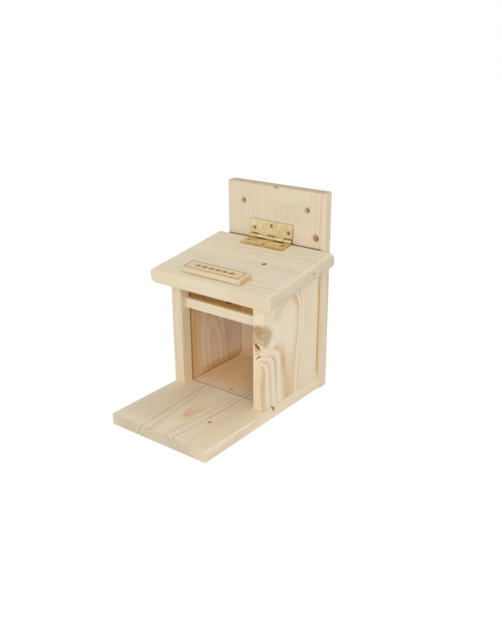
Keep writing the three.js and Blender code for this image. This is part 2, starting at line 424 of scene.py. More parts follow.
def tintAndPaintedLight(at, size, colour, soft, depth=1.0, turn=0.0, kind="MULTIPLY"):  # turned about the first axis
    return dict(at=at, size=size, colour=colour, soft=soft, depth=depth, turn=(turn, 0, 0), kind=kind)


# A box of tint, painted shade or painted light, from its lowest to its highest corner
def boxTintAndPaintedLight(low, high, colour, soft, depth=1.0, kind="MULTIPLY"):
    low, high = np.array(low, float), np.array(high, float)
    return tintAndPaintedLight((low + high) / 2, (high - low) / 2, colour, soft, depth, kind=kind)


# painted shade in a crevice, groove or gap, mixed into the wood's colour
def creviceShade(low, high, soft, depth=1.0, colour=creviceShadeColour):
    return boxTintAndPaintedLight(low, high, colour, soft, depth, "MIX")


def woodMaterial(name, wood):
    material, shader, _ = newMaterial(name)
    axes = np.array(wood["axes"], float)  # rows: across, through, along, in the row frame
    centre, half = np.array(wood["centre"], float), np.array(wood["size"], float) / 2
    coordinate = add("TexCoord")
    whole, normal = coordinate.outputs["Object"], coordinate.outputs["Normal"]
    hand = 1.0 if np.linalg.det(axes) > 0 else -1.0  # left-handed axes are mirrored along the grain
    turn = Matrix((axes * [[1], [1], [hand]]).T.tolist()).to_euler()
    place = centred(whole, centre * mm, turn, (mm, mm, hand * mm))

    def grain(across, along, detail, roughness=0.5, shift=(0, 0, 0), colour=False):
        return noise(stretched(place, (across, across, along), shift), 1.0, detail, roughness, colour)

    def wander(across, along, detail, reach):  # a slowly changing step of up to half the reach
        pattern = grain(across, along, detail, shift=wood["shift"], colour=True)
        return vectors("SCALE", vectors("SUBTRACT", pattern, (0.5, 0.5, 0.5)), scale=reach)

    # slow bends of the stem and small waves of the grain
    waves = vectors("ADD", wander(0.02, 0.006, 1.0, wood["bend"]), wander(0.16, 0.02, 2.0, wood["wave"]))
    bent = vectors("ADD", place, waves)
    if "bow" in wood:  # the stem was bowed: its depth below the face changes along the board
        bow = np.array(wood["bow"], float)
        (start, lowest), (end, highest) = bow.min(0), bow.max(0)
        at = maths("DIVIDE", maths("SUBTRACT", separate(bent)[2], start), end - start, clamp=True)
        depth = curve(at, ((bow - [start, lowest]) / [end - start, highest - lowest]).tolist(), "AUTO_CLAMPED")
        lift = fill(add("CombineXYZ"), Y=timesPlus(depth, highest - lowest, lowest))
        bent = vectors("ADD", bent, lift)

    # rings of the stem, folded outwards along some lines and swelling round each branch
    pith, lean = np.array([*wood["pith"], 0.0]), np.array([*wood["lean"], 1.0])
    field = lineDistance(bent, pith, lean)
    for fold in wood.get("folds", []):  # along a fold the field is level - steep * distance
        away = vectors("LENGTH", spotAt(bent, fold, 1.0))
        ridge = timesPlus(away, -fold["steep"], fold["level"])
        change = maths("SUBTRACT", maths("SMOOTH_MIN", field, ridge, fold["soft"]), field)
        field = timesPlus(change, fading(away, fold["reach"] - pine["foldEnd"], fold["reach"] + pine["foldEnd"]), field)
    knots = []
    for k in wood.get("knots", []):
        spot = axes @ (np.array(k["at"], float) - centre)
        near = lineDistance(bent, spot, axes @ np.array(k["along"], float))
        knots.append((k, near))
        if "swell" in k:
            w, d = spot - pith, lean / np.linalg.norm(lean)
            there = float(np.linalg.norm(w - (w @ d) * d))
            rise = timesPlus(near, k["steep"], there - k["swell"] - k["radius"] * k["steep"])
            field = maths("SMOOTH_MIN", field, rise, k["soft"])

    # a ring is pale, darkens slowly and ends sharply, and each has its own strength
    radii, strengths = wood["rings"], wood["strengths"]
    reach, count = radii[-1], len(radii) - 1
    share = maths("DIVIDE", field, reach, clamp=True)
    number = times(curve(share, [(r / reach, i / count) for i, r in enumerate(radii)]), float(count))
    phase = maths("FRACT", number)
    dark = maths("POWER", eased(phase, pine["lateStart"], pine["lateEnd"]), pine["sharpness"])
    dark = times(dark, fading(phase, pine["lateEnd"] + 0.02, 1.0))
    strength = curve(share, [(r / reach, s) for r, s in zip(radii, strengths)])
    patches = grain(0.05, 0.012, 2.0, shift=wood["shift"])
    strength = times(strength, eased(patches, 0.32, 0.68, 0.45, 1.25))
    for quiet in wood.get("quiet", []):  # rings fade here: full at the middle, nothing one size away
        away = vectors("LENGTH", spotAt(whole, quiet))
        strength = times(strength, eased(away, 0.35, 1.0, 1.0 - quiet["depth"], 1.0))
    dark = times(dark, strength)

    # faces cut across the grain
    endGrain = eased(maths("ABSOLUTE", vectors("DOT_PRODUCT", normal, tuple(axes[2]))), 0.55, 0.85)
    dark = maths("MULTIPLY", dark, timesPlus(endGrain, wood.get("endContrast", 0.5), 1.0), clamp=True)

    # colour: pale wood in two slightly different tints, late wood, fibres, end grain
    tint = eased(grain(0.035, 0.007, 3.0, 0.55, wood["shift"]), 0.32, 0.68)
    colour = blend(dark, blend(tint, rgb(*wood["pale"]), rgb(*wood["warm"])), rgb(*wood["late"]))
    fibre, streak, pores = grain(2.2, 0.07, 3.0, 0.6), grain(0.7, 0.015, 2.0), grain(1.6, 0.3, 3.0, 0.7)
    lightness = timesPlus(fibre, 2 * pine["fibreDepth"], 1 - pine["fibreDepth"])
    lightness = times(lightness, timesPlus(streak, 0.06, 0.97))
    mixed = add("Mix")
    for i, value in ((0, endGrain), (2, lightness), (3, timesPlus(pores, 0.16, pine["endDarkening"] - 0.08))):
        wire(mixed.inputs[i], value)
    colour = blend(1.0, colour, fill(add("CombineColor"), *[mixed.outputs[0]] * 3), "MULTIPLY")

    # knots: a ringed heart, a dark rim, and black pins where a twig was
    knotty = 0.0
    for k, near in knots:
        ragged = grain(0.25, 0.25, 3.0, shift=(k["radius"], 0, 0))
        near = timesPlus(ragged, k["ragged"] * k["radius"], near)
        near = maths("SUBTRACT", near, k["ragged"] * k["radius"] / 2)
        scaled = maths("DIVIDE", near, float(k["radius"]))
        hearts = timesPlus(maths("SINE", times(scaled, k["turns"])), 0.5, 0.5)
        heart = blend(hearts, rgb(*k["heart"]), rgb(*k["ring"]))
        heart = paint(times(eased(ragged, 0.42, 0.66), k["blotch"]), heart, k["core"])
        heart = paint(times(fading(scaled, 0.0, k["coreSize"]), k["coreDepth"]), heart, k["core"])
        halo = fading(scaled, 1.0, k["haloSize"], k["halo"])
        colour = paint(halo, colour, k.get("haloColour", wood["late"]))
        inside = fading(scaled, 0.86, 1.06)
        colour = blend(times(inside, k["depth"]), colour, heart)
        rim = times(eased(scaled, 0.80, 0.97), fading(scaled, 1.0, 1.12))
        rim = times(rim, eased(ragged, 0.35, 0.6))
        colour = paint(times(rim, k["rim"]), colour, pine["knotRim"])
        knotty = maths("MAXIMUM", inside, knotty)

    # resin streaks and bark specks: stretched blobs with ragged edges
    for m in wood.get("marks", []):
        torn = grain(0.45, 0.45, 3.0, 0.6, m["size"])
        size = timesPlus(torn, m["torn"], vectors("LENGTH", spotAt(whole, m)))
        middle = 1.02 + m["torn"] / 2
        inside = fading(size, middle - m["soft"], middle + m["soft"])
        colour = paint(times(inside, m["depth"]), colour, m["colour"])

    # painted shade in crevices, painted shade and painted light inside the chamber and the slot, and some tints of the
    # wood: boxes with soft edges
    for s in wood.get("tintsAndPaintedLight", []):
        inside = fading(boxAway(whole, s), 1.0 - s["soft"], 1.0, s["depth"])
        colour = paint(inside, colour, s["colour"], s["kind"])

    # handled arrises: the middle one of the three distances to the board's sides is
    # the distance to its nearest edge
    x, y, z = separate(vectors("SUBTRACT", tuple(half), vectors("ABSOLUTE", place)))
    edgeAway = maths("MAXIMUM", maths("MINIMUM", x, y), maths("MINIMUM", maths("MAXIMUM", x, y), z))
    rubbed = eased(noise(place, 0.12, 3.0, 0.6), 0.35, 0.7)
    rub = times(fading(edgeAway, 0.4, 2.2), rubbed)
    colour = paint(times(rub, pine["rub"]), colour, wood["rubbed"])

    if "burnt" in wood:
        singe = times(attribute("burnt"), eased(fibre, 0.2, 0.7, 0.75, 1.0))
        colour = paint(singe, colour, wood["burnt"])

    rough = timesPlus(fibre, 0.16, pine["roughness"] - 0.08)
    rough = maths("SUBTRACT", rough, times(dark, 0.10))
    rough = timesPlus(knotty, -0.12, timesPlus(endGrain, 0.12, rough))
    height = timesPlus(times(pores, endGrain), 1.2, timesPlus(dark, 0.5, fibre))
    wire(shader.inputs["Specular IOR Level"], pine["gloss"])
    finishShader(shader, colour, rough, height, strength=0.35, depth=0.12)
    return material


# Base board: it is the feeding platform in front and the chamber's floor behind

baseWood = {
    "axes": [alongX, alongZ, alongY], "centre": (0, -9, 9), "size": (174, 18, 270),
    "shift": (3.1, 0.4, 7.7), "bend": 3.0, "wave": 1.6,
    "pith": (-0.6, -12.9), "lean": (-0.012, 0.074), "endContrast": 0.45,
    "rings": [0, 5, 10, 14, 18, 22, 25, 28, 36, 43.8, 50.5, 54, 57.7, 62.2, 66.8, 70.6, 75.5, 79, 84, 90, 97],
    "strengths": [0.1] * 5 + [
        0.08, 0.05, 0.42, 0.26, 0.46, 0.12, 0.2, 0.25, 0.34, 0.13, 0.28, 0.13, 0.27, 0.15, 0.22, 0.22,
    ],
    "pale": (245, 231, 207), "warm": (246, 231, 201), "late": (190, 147, 94), "rubbed": (218, 202, 174),
    "knots": [
        knot(pinKnot, (41, -82, 18), (0.3, 0, 1), 1.7, swell=2.0, steep=3.0, soft=2.0, halo=0.3, haloSize=3.0),
        knot(brownKnot, (3, 15, 18), (0.2, 0.1, 1), 2.2, swell=1.0, steep=1.2, depth=0.6),
    ],
    "marks": [
        mark((3.5, -75, 18), (8, 20, 3), (230, 186, 124), depth=0.44, torn=0.5, soft=0.8),
    ],
    "tintsAndPaintedLight": [
        boxTintAndPaintedLight((-90, -150, -4), (90, -142.4, 22), (238, 237, 232), 0.5),
        boxTintAndPaintedLight((-140, -150, -4), (-40, -142.4, 22), (248, 246, 250), 0.5),
        boxTintAndPaintedLight((-90, -150, 14), (90, 190, 24), (255, 250, 241), 0.4),
        boxTintAndPaintedLight((-150, -150, 14), (0, 10, 24), (242, 240, 242), 0.5),
        boxTintAndPaintedLight((85.5, -150, -4), (90, -60, 16.8), (246, 247, 249), 0.3),
        # painted shade: the chamber's floor warmer and darker, the window's groove dark right through to its end, the
        # floor by the left wall warmer, and darker bands where the floor meets the left and back walls
        boxTintAndPaintedLight((-67, 15, 14), (67, 190, 24), (258, 240, 214), 0.3),
        creviceShade((-66, 3.0, 12), (66, 8.0, 17.6), 0.05, colour=(202, 140, 78)),
        creviceShade((66, 3.0, 12), (90, 8.0, 17.6), 0.05, colour=(190, 158, 122)),
        boxTintAndPaintedLight((-70, 7, 17), (-46.0, 128, 20), (255, 243, 224), 0.4),
        creviceShade((-68, 5, 17), (-64.6, 128, 20), 0.4, 0.8),
        creviceShade((-68, 124.6, 17), (68, 128, 20), 0.4, 0.8),
    ],
}
windowGroove = {"front": 3.5, "rear": 7.5, "inBase": 4, "inPanel": 5}


def finishPine(name, node, shape, woodName, wood, cuts, body="housing"):
    finishPiece(objectOf(name, shape), body, node, woodMaterial(woodName, wood), cuts)


def makeBase():
    low, high = boxOf("base_board")
    front, rear, top = windowGroove["front"], windowGroove["rear"], high[2]
    floor, arris = top - windowGroove["inBase"], top - 0.25
    profile = [
        (front, floor), (rear, floor), (rear, arris), (rear + 0.5, top + 0.5), (front - 0.5, top + 0.5), (front, arris),
    ]
    groove = placed(flatRings([profile, profile], (low[0] - 1, high[0] + 1)), [alongY, alongZ, alongX])
    shape = boxBoard("base_board", (0, 2, 1), radius=3.0, edge=0.5)
    finishPine("baseBoard", "base_board", shape, "basePine", baseWood, [groove, *baseHoles, *backHoles])


# Fasteners: a countersunk head, a shank with a thread, and a cross cut into the head

hingeScrew = {
    "head": 3.0, "shank": 1.5, "length": 14.0, "tip": 3.0, "sink": 0.2,
    "cross": (1.75, 0.42, 1.0), "pitch": 1.1, "thread": 0.3,
}
boardScrew = {
    "head": 4.0, "shank": 2.0, "length": 40.0, "tip": 5.0, "sink": 0.3,
    "cross": (2.1, 0.5, 1.3), "pitch": 1.8, "thread": 0.45,
}
nail = {"head": 0.9, "headHeight": 0.9, "shank": 0.6, "length": 34.0, "tip": 2.0, "sink": 0.25, "room": 0.08}
holeRoom = 0.3
dot = 0.02  # the radius that stands for a point on the axis


# A screw's surface: the radius is the envelope less thread * (a wave of height / pitch
# + turn), so the ridge climbs once round for each pitch
def screwShape(screw):
    count, rowsPerTurn = 24, 8
    cone = screw["head"] - screw["shank"]
    threadEnd = -cone - 2.5
    rows = int(screw["length"] / screw["pitch"] * rowsPerTurn)
    shank = np.linspace(-screw["length"] + 0.05, threadEnd, rows)
    envelope = screw["shank"] * np.clip((shank + screw["length"]) / screw["tip"], 0.06, 1)
    angle = np.linspace(0, 2 * math.pi, count, endpoint=False)
    climb = np.mod(shank[:, None] / screw["pitch"] + angle[None] / (2 * math.pi), 1)
    ridge = np.abs(climb * 2 - 1) ** 0.7
    fade = np.clip((threadEnd - shank) / 2, 0, 1)[:, None]
    radius = np.maximum(envelope[:, None] - screw["thread"] * (1 - ridge) * fade, 0.04)
    head = [
        (screw["shank"], -cone - 2.0), (screw["shank"], -cone), (screw["head"] - 0.12, -0.12),
        (screw["head"], -0.05), (screw["head"] - 0.06, 0.0),
    ]
    outlines = [r[:, None] * circle(count) for r in radius] + [r * circle(count) for r, _ in head]
    return flatRings(outlines, [*shank, *(height for _, height in head)])


# The cross: a twelve-cornered outline that narrows with depth
def crossShape(screw):
    reach, width, depth = screw["cross"]
    quarter = np.array([(reach, -width), (reach, width), (width, width)])
    outline = np.concatenate([
        quarter @ np.array([[math.cos(a), math.sin(a)], [-math.sin(a), math.cos(a)]])
        for a in np.arange(4) * math.pi / 2
    ])
    return flatRings([outline * 0.45, outline, outline * 1.1], (-depth, 0.0, 0.2))


def holeShape(fastener, room, neck, seat, over, count=32):  # the bore ends at neck, and the mouth starts at seat
    bore, mouth = fastener["shank"] + room, fastener["head"] + room
    foot, top = -fastener["length"] - room, fastener["sink"] + over
    return turned([(dot, foot), (bore, foot), (bore, neck), (mouth, seat), (mouth, top), (dot, top)], count)


def screwHole(screw):
    return holeShape(screw, holeRoom, screw["shank"] - screw["head"], 0, 2)


def nailHole():
    shoulder = -nail["headHeight"] - nail["room"]
    return holeShape(nail, nail["room"], shoulder, shoulder, 1, 20)


def site(fastener, point, direction, spin=0.0):  # where a fastener sits, sunk a little
    direction = np.array(direction, float)
    return driven(direction, spin), np.array(point, float) + direction * fastener["sink"]


slopeDegrees = 8.3
slope = math.radians(slopeDegrees)
pinPlace = np.array([-4.5, 122.7, 226.3896])
pinOrigin = pinPlace * [0, 1, 1]
lidAxes = np.array([alongX, [0, math.cos(slope), math.sin(slope)], [0, -math.sin(slope), math.cos(slope)]])


def onLid(point):  # a place in the roof's own frame, whose zero is on the pin
    return np.array(point, float) @ lidAxes + pinOrigin


def onLidShape(shape):
    return placed(shape, lidAxes, pinOrigin)


def lidTintAndPaintedLight(at, size, colour, soft, depth=1.0, kind="MULTIPLY"):
    return tintAndPaintedLight(onLid(at), size, colour, soft, depth, slopeDegrees, kind)


roofTop, roofBottom, roofHalf = -3.3, -25.3, 108.0
roofFront, roofRear = -158.361, -0.861
leafSpots = [(-35.5, 12.5), (-4.5, 19.0), (26.5, 12.5)]
spins = [0.35, 1.1, 0.7, 0.15, 1.3, 0.9]
baseSpots = [(-75, 15), (-75, 96), (75, 15), (75, 96)]
backSpots = [(-75, 50), (-75, 169), (75, 50), (75, 169), (-42, 9), (42, 9)]
leafFace = pinPlace[1] + 1.5
baseSites = [site(boardScrew, (x, y, 0), alongZ, 0.4 * i) for i, (x, y) in enumerate(baseSpots)]
backSites = [site(boardScrew, (x, 144, z), -alongY, 0.5 * i) for i, (x, z) in enumerate(backSpots)]
nailSites = [site(nail, (s * 84, -0.5, 147.5), -s * alongX) for s in (-1, 1)]
upperSites = [
    site(hingeScrew, (x, leafFace, pinPlace[2] + away), alongY, spin)
    for (x, away), spin in zip(leafSpots, spins[:3])
]
lowerSites = [
    site(hingeScrew, onLid((x, -away, -1.5)), -lidAxes[2], spin) for (x, away), spin in zip(leafSpots, spins[3:])
]


def holesAt(shape, sites):
    return [placed(shape, axes, origin) for axes, origin in sites]


baseHoles, backHoles = holesAt(screwHole(boardScrew), baseSites), holesAt(screwHole(boardScrew), backSites)
upperHoles, lowerHoles = holesAt(screwHole(hingeScrew), upperSites), holesAt(screwHole(hingeScrew), lowerSites)
nailHoles = holesAt(nailHole(), nailSites)

# Side panels

panelWood = {
    "axes": [alongY, alongX, alongZ], "size": (141, 18, 183),
    "pale": (242, 229, 205), "warm": (243, 227, 197), "late": (208, 167, 114), "rubbed": (226, 210, 180),
}
rightWood = {
    **panelWood, "centre": (75, 55.5, 109.5), "shift": (1.3, 5.2, 2.4), "bend": 2.5, "wave": 1.3,
    "pith": (-8.0, -32.2), "lean": (0.0, 0.0),
    "bow": [
        (-92, 5.0), (-49.5, 4.3), (-9.5, 1.8), (22, 0.0), (42, 0.1), (55.5, 2.3), (65.5, 4.7), (77, 8.0),
        (96, 14.0),
    ],
    "rings": [0, 8, 16, 24, 31, 38.5, 48.3, 52.6, 57.0, 60.5, 63.0, 66.5, 69.6, 72.2, 74.6, 80.2, 86, 92],
    "strengths": [0.1] * 5 + [0.05, 0.8, 0.5, 0.55, 0.6, 0.5, 0.3, 0.4, 0.34, 0.4, 0.3, 0.3, 0.3],
    "folds": [{
        "at": (-70.5, 9, -109.5), "size": (1.0, 0.363, 30), "turn": (0, -5.3, 0), "level": 64.6, "steep": 0.345,
        "soft": 2.0, "reach": 54.0,
    }],
    "quiet": [
        {"at": (84, -4, 158), "size": (30, 34, 22), "depth": 0.8},
        {"at": (84, -2, 108), "size": (30, 22, 10), "depth": 0.7},
    ],
    "knots": [
        knot(
            brownKnot, (79, -15, 134), (0.52, -0.8, 0.25), 14.0, swell=36.0, steep=1.164, soft=36.7, ragged=1.0,
            rim=0.3, blotch=0.8, halo=0.3, haloSize=1.5, turns=7.0, heart=(216, 188, 144), ring=(202, 170, 122),
            core=(154, 118, 76), coreSize=0.6, coreDepth=0.3, depth=0.85,
        ),
    ],
    "marks": [
        mark((74, -15, 142), (10, 5, 6.0), (172, 134, 80), depth=0.55, torn=1.6, soft=0.4),
        mark((84, -9, 123), (6, 7, 8), (186, 172, 142), depth=0.65, torn=1.6, soft=0.4),
        mark((75.2, -15, 113.0), (4.4, 4, 6.0), (236, 188, 114), depth=0.75, torn=1.8, soft=0.5),
        mark((82.0, -15, 50), (2.6, 4, 40), (196, 152, 98), depth=0.5, torn=0.6, soft=0.6),
        mark((73.0, -15, 117.0), (2.6, 5, 6.4), (176, 124, 62), depth=0.8, torn=1.8, soft=0.4, turn=(0, -50, 0)),
        mark((73.2, -15, 116.6), (1.7, 5, 5.0), (96, 62, 30), torn=1.8, soft=0.25, turn=(0, -54, 0)),
        mark((69.8, -15, 112.6), (0.8, 5, 3.4), (150, 108, 60), depth=0.8, torn=1.2, turn=(0, -68, 0)),
        mark((71.2, -15, 109.4), (0.7, 5, 3.4), (176, 132, 80), depth=0.8, torn=1.2, turn=(0, -95, 0)),
        mark((75.4, -15, 101.0), (1.6, 5, 5.2), (152, 112, 66), depth=0.8, torn=1.8, soft=0.3, turn=(0, 48, 0)),
        mark((72.6, -15, 105.6), (0.7, 5, 3.4), (186, 144, 92), depth=0.8, torn=1.2, turn=(0, 76, 0)),
        mark((84, 49, 45), (4, 15, 40), (232, 194, 142), depth=0.36, torn=0.5, soft=0.7),
    ],
    "tintsAndPaintedLight": [
        boxTintAndPaintedLight((80, 119.6, 14), (86, 131, 196), (210, 170, 114), 0.3, 0.9, kind="MIX"),
        # painted shade: the panel's inner face darker and warmer, and its window groove dark
        boxTintAndPaintedLight((64, 5, 10), (68.5, 128, 196), (243, 217, 179), 0.1),
        creviceShade((65.5, 3.0, 10), (72, 8.0, 190), 0.05, colour=(194, 140, 67)),
    ],
}
leftWood = {
    **panelWood, "pale": (233, 217, 188), "warm": (234, 215, 182), "centre": (-75, 55.5, 109.5),
    "shift": (8.2, 1.9, 4.6), "bend": 2.5, "wave": 1.4,
    "pith": (-1.45, 39.0), "lean": (-0.1, 0.0),
    "bow": [(-92, 3.3), (-48, 3.3), (-28, 2.0), (-9, -0.5), (15.5, -4.0), (42, -10.0), (96, -18.0)],
    "rings": [0, 8, 15, 22, 29, 34, 44, 46.5, 52.3, 57, 61, 66, 72, 78, 85, 92],
    "strengths": [0.05, 0.05, 0.05, 0.1, 0.5, 0.9, 0.6, 0.45, 0.7, 0.4, 0.3, 0.2, 0.24, 0.2, 0.2, 0.2],
    "knots": [
        knot(brownKnot, (-84, 84, 176), (1, 0.1, 0.2), 4.2, swell=7.0, steep=1.2),
    ],
    "marks": [
        mark((-66, 95.5, 117), (3, 9, 1.5), (96, 66, 34), torn=0.8, turn=(-24, 0, 0)),
        mark((-66, 93, 60), (3, 11, 26), (196, 140, 104), depth=0.4, torn=0.6, soft=0.7),
    ],
    "tintsAndPaintedLight": [
        # painted shade and light on the chamber's inner face: the whole wall darker and warmer, yellower towards the
        # window, on the post's inner face and under the roof, lighter where the slot looks in, and darker along its
        # foot and in the groove
        boxTintAndPaintedLight((-68.6, 3.2, 10), (-63, 132, 220), (243, 219, 186), 0.03),
        boxTintAndPaintedLight((-68.6, 3.2, 10), (-63, 19, 220), (255, 249, 232), 0.2),
        boxTintAndPaintedLight((-68.6, -13.4, 10), (-63, 3.6, 220), (255, 250, 240), 0.06),
        boxTintAndPaintedLight((-68.6, 3.2, 156), (-63, 132, 260), (255, 250, 222), 0.06),
        tintAndPaintedLight((-66, 80.7, 147.7), (2.6, 72, 38), (266, 258, 234), 0.3, turn=-25.6),
        boxTintAndPaintedLight((-68.6, 20, -8), (-63, 132, 32), (246, 228, 190), 0.4),
        creviceShade((-72, 3.0, 10), (-65.6, 8.0, 190), 0.05, colour=(194, 140, 67)),
        creviceShade((-68, 4, 10), (-64, 128, 20), 0.1, 0.8),
    ],
}


# A side panel: its sloping outline, seen from the side, carried through its thickness
def makePanel(name, node, side, wood):
    low, high = boxOf(node)
    frontTop = high[2] - (high[1] - low[1]) * math.tan(slope)
    corners = [(low[1], low[2]), (high[1], low[2]), (high[1], high[2]), (low[1], frontTop)]
    shape = placed(board(corners, 0.9, low[0], high[0], edge=0.6), [alongY, alongZ, alongX])
    front, rear, inner = windowGroove["front"], windowGroove["rear"], (low if side > 0 else high)[0]
    deep, over = inner + side * windowGroove["inPanel"], inner - side
    profile = [(front, deep), (rear, deep), (rear, over), (front, over)]
    groove = placed(flatRings([profile, profile], (low[2] - 1, high[2] + 5)), [alongY, alongX, alongZ])
    outer = 60  # holes further out than this go into a panel
    holes = [hole for hole in baseHoles + backHoles if side * hole[0][:, 0].mean() > outer]
    finishPine(name, node, shape, name + "Pine", wood, [groove, *holes, nailHoles[int(side > 0)]])


# Back board, with two countersunk hanging holes

backWood = {
    "axes": [alongX, alongY, alongZ], "centre": (0, 135, 153), "size": (176, 18, 306),
    "shift": (6.4, 2.2, 0.9), "bend": 3.5, "wave": 1.8,
    "pith": (-6.0, 33.0), "lean": (0.01, -0.012),
    "rings": [0, 9, 18, 27, 35, 43, 50.5, 54, 60, 63, 69, 72, 75.5, 80, 82.5, 88, 91.5, 96, 99, 104],
    "strengths": [0.1] * 5 + [
        0.06, 0.22, 0.42, 0.14, 0.36, 0.16, 0.34, 0.12, 0.34, 0.18, 0.36, 0.16, 0.85, 0.2, 0.2,
    ],
    "pale": (231, 217, 192), "warm": (233, 216, 187), "late": (202, 164, 122), "rubbed": (216, 200, 170),
    "quiet": [{"at": (0, 126, 262), "size": (34, 30, 60), "depth": 0.6}],
    "knots": [
        knot(
            brownKnot, (74, 126, 239), (0.25, 1, 0.1), 4.9, swell=4.0, steep=2.0, soft=5.0, turns=8.0,
            heart=(200, 158, 122), ring=(156, 108, 78), core=(136, 90, 62), coreDepth=0.25, rim=0.9, ragged=0.3,
        ),
        knot(brownKnot, (-22, 144, 96), (-0.2, 1, 0.15), 6.5, swell=12.0, steep=0.9),
    ],
    "marks": [
        mark((2, 126, 304.5), (4.2, 4, 1.8), (184, 150, 110), depth=0.85, torn=1.2, soft=0.3),
        mark((3.5, 126, 304.8), (1.2, 4, 1.0), (128, 92, 58)),
        mark((76.6, 126, 238.6), (1.3, 4, 2.8), (124, 84, 56), depth=0.8, turn=(0, 12, 0)),
        *[mark((x, 126, 277.5), (4.8, 6, 4.8), (178, 158, 110), depth=0.7, soft=0.25) for x in (-58, 58)],
    ],
    "tintsAndPaintedLight": [
        # painted shade and light on the chamber's back wall: darker and warmer all over, lighter in its upper part
        # where the slot looks in
        boxTintAndPaintedLight((-66, 124, 16), (66, 127.5, 200), (240, 218, 184), 0.04),
        boxTintAndPaintedLight((-84, 120, 86), (84, 127.5, 216), (266, 258, 234), 0.3),
        # painted shade: dark lines in the gap under the roof's rear edge, in the corner with the left wall, and on the
        # wood seen between the hinge's knuckles
        creviceShade((-88.5, 124, 199), (84, 127.5, 223.5), 0.025, 0.9, colour=(150, 100, 56)),
        creviceShade((-68, 124, 16), (-64.4, 127.5, 96), 0.2, 0.85),
        *[creviceShade((x, 124, 228), (x + 15.2, 127.5, 231.4), 0.05, colour=(176, 132, 64)) for x in (-43.3, -12.1, 19.1)],
        boxTintAndPaintedLight((-90, 122, 304.6), (90, 148, 308), (240, 238, 232), 0.1),
        boxTintAndPaintedLight((-14, 124, 252), (56, 127, 288), (250, 249, 249), 0.5),
    ],
}
hangingHole = {"radius": 2.3, "sink": 4.8, "spread": 116, "drop": 28.5}


def makeBack():
    low, high = boxOf("back_board")
    bore, mouth = hangingHole["radius"], hangingHole["sink"]
    hole = turned([(dot, -20), (bore, -20), (bore, bore - mouth), (mouth, 0), (mouth + 0.2, 0.6), (dot, 0.6)], 40)
    spots = [(s * hangingHole["spread"] / 2, low[1], high[2] - hangingHole["drop"]) for s in (-1, 1)]
    cuts = [placed(hole, driven(alongY), spot) for spot in spots]
    shape = boxBoard("back_board", (0, 1, 2), radius=0.9, edge=0.6)
    finishPine("backBoard", "back_board", shape, "backPine", backWood, cuts + backHoles + upperHoles)


# Rail over the window

railWood = {
    "axes": [alongZ, alongY, alongX], "centre": (0, -0.5, 147.5), "size": (15, 7, 132),
    "shift": (2.2, 9.1, 5.0), "bend": 2.0, "wave": 1.0, "pith": (-28.0, 44.0), "lean": (0.01, 0.015),
    "rings": [0, 12, 24, 32, 38, 42, 45, 48, 51, 54, 57, 60, 63, 66, 70, 75],
    "strengths": [0.2] * 5 + [0.3, 0.12, 0.3, 0.15, 0.3, 0.15, 0.25, 0.15, 0.3, 0.2, 0.2],
    "pale": (242, 229, 204), "warm": (242, 227, 198), "late": (212, 174, 126), "rubbed": (228, 212, 184),
    # painted light: the rail's top face, in shade under the roof, lightened to a warm tan
    "tintsAndPaintedLight": [boxTintAndPaintedLight((-67, -3.6, 154.6), (67, 3.6, 156), (270, 251, 208), 0.1)],
}


def makeRail():
    shape = boxBoard("front_rail", (1, 2, 0), radius=0.8, edge=0.3)
    finishPine("frontRail", "front_rail", shape, "railPine", railWood, nailHoles)


# Roof board, whose left and right ends are rounded

roofWood = {
    "axes": [lidAxes[1], lidAxes[2], alongX], "centre": onLid((0, -79.61, -14.3)), "size": (157.5, 22, 216),
    "shift": (4.4, 7.3, 1.6), "bend": 2.4, "wave": 0.8, "pith": (-8.7, 192.0), "lean": (0.02, 0.0),
    "rings": [
        0, 60, 120, 172, 175, 178, 181.6, 185.6, 188.4, 191.6, 194, 197.4, 200, 203.6, 206, 209.4, 213, 217, 220,
        224,
    ],
    "strengths": [
        0.2, 0.2, 0.2, 0.2, 0.1, 0.1, 0.16, 0.14, 0.4, 0.13, 0.3, 0.16, 0.32, 0.2, 0.34, 0.2, 0.34, 0.2, 0.3, 0.2,
    ],
    "pale": (236, 224, 200), "warm": (239, 225, 195), "late": (204, 170, 126), "rubbed": (222, 206, 176),
    "endContrast": 1.2,
    "knots": [
        knot(pinKnot, onLid((108, -55.1, -12.5)), (1, 0, 0), 1.4, halo=0.2),
        knot(
            pinKnot, onLid((37.5, -74.5, roofTop)), (0.2, 0.2, 1), 2.7, swell=0.6, steep=1.0, soft=1.0, halo=0.18,
            haloSize=3.0,
        ),
    ],
    "tintsAndPaintedLight": [
        # painted shade on the roof's rear face, in the gap against the back board
        lidTintAndPaintedLight((0, -0.6, -14.5), (110, 0.6, 14), creviceShadeColour, 0.3, kind="MIX"),
        lidTintAndPaintedLight((72, -159, -14), (44, 1.5, 14), (251, 247, 244), 0.4),
        # painted shadow of the plaque's front edge on the roof's top
        lidTintAndPaintedLight((-3.5, -146.8, -3.3), (54, 0.9, 1), (184, 128, 84), 0.6, 0.7, kind="MIX"),
        # painted shade on the wood seen between the hinge's knuckles
        *[lidTintAndPaintedLight((x, -3.4, -3.3), (7.6, 2.2, 1), (104, 72, 26), 0.1, kind="MIX") for x in (-20.1, 11.1)],
    ],
}


def makeRoof():
    corners = [(-roofHalf, roofBottom), (roofHalf, roofBottom), (roofHalf, roofTop), (-roofHalf, roofTop)]
    shape = placed(board(corners, 7.5, roofFront, roofRear, edge=0.7, steps=10), [alongX, alongZ, alongY])
    finishPine("roofBoard", "roof_board", onLidShape(shape), "roofPine", roofWood, lowerHoles, "lid")


# Plaque: a height field with a burnt border and a plain row of lozenges

